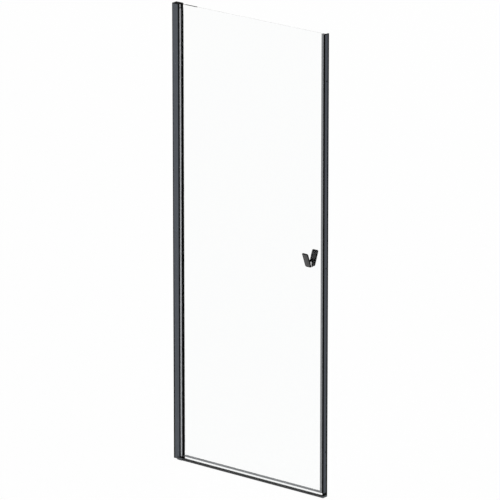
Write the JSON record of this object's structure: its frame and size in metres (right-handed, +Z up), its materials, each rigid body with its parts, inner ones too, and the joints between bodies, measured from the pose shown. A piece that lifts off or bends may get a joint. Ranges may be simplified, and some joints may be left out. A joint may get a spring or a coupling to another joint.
{
  "type": "shower door",
  "caption": "Alcove pivot shower door: clear glass leaf with a round-backed hinge stile, edge seals and a through-bolted paddle handle, between black wall channels over a low threshold.",
  "frame": {"origin": "on the floor, midway between the two walls and in the middle of the glass's thickness", "axes": "+X towards the strike wall, +Y into the shower, +Z up; -Y faces the room"},
  "size_m": [0.8, 0.0778, 2],
  "materials": {
    "black_painted_profile": "matt black powder coat",
    "black_anodised_profile": "black anodised",
    "black_plastic": "moulded, matt black",
    "grey_seal": "soft grey PVC",
    "clear_lip": "soft clear PVC",
    "black_rubber": "soft black, magnetic strips included",
    "clear_glass": "clear toughened, polished edges",
    "stainless_steel": "plain stainless",
    "white_acetal": "turned, natural white",
    "black_painted_handle": "matt black powder coat",
    "pale_pad": "soft translucent PVC"
  },
  "bodies": {
    "frame": {"hinge_wall_channel": "black_painted_profile", "hinge_wall_cap": "black_plastic", "hinge_post": "black_anodised_profile", "hinge_gasket": "grey_seal", "upper_pivot_block": "black_plastic", "upper_pivot_cover": "grey_seal", "upper_pivot_pin": "stainless_steel", "lower_pivot_block": "black_plastic", "lower_pivot_pin": "stainless_steel", "lower_thrust_washer": "white_acetal", "post_screws": "stainless_steel", "post_screw_caps": "black_plastic", "threshold_bar": "black_painted_profile", "threshold_hinge_end": "black_plastic", "threshold_strike_foot": "black_plastic", "strike_wall_channel": "black_painted_profile", "strike_cap": "black_plastic", "strike_insert": "black_anodised_profile", "strike_magnet": "black_rubber", "stop_gasket": "black_rubber"},
    "leaf": {"glass": "clear_glass", "hinge_stile": "black_anodised_profile", "stile_gasket": "black_rubber", "lower_bearing_plug": "black_plastic", "upper_bearing_plug": "black_plastic", "bottom_seal": "grey_seal", "bottom_lip": "clear_lip", "edge_seal": "grey_seal", "edge_magnet": "black_rubber", "top_edge_strip": "black_rubber", "handle_sleeve": "white_acetal", "handle_stud": "stainless_steel", "handle_grub_screws": "stainless_steel", "handle_front_paddle": "black_painted_handle", "handle_rear_paddle": "black_painted_handle", "handle_front_pad": "pale_pad", "handle_rear_pad": "pale_pad"}
  },
  "joints": [
    {"name": "leaf_swing", "type": "hinge", "parent": "frame", "child": "leaf", "pos_m": [-0.3565, 0, 0], "axis": [0, 0, -1], "range_deg": [0, 95]}
  ]
}
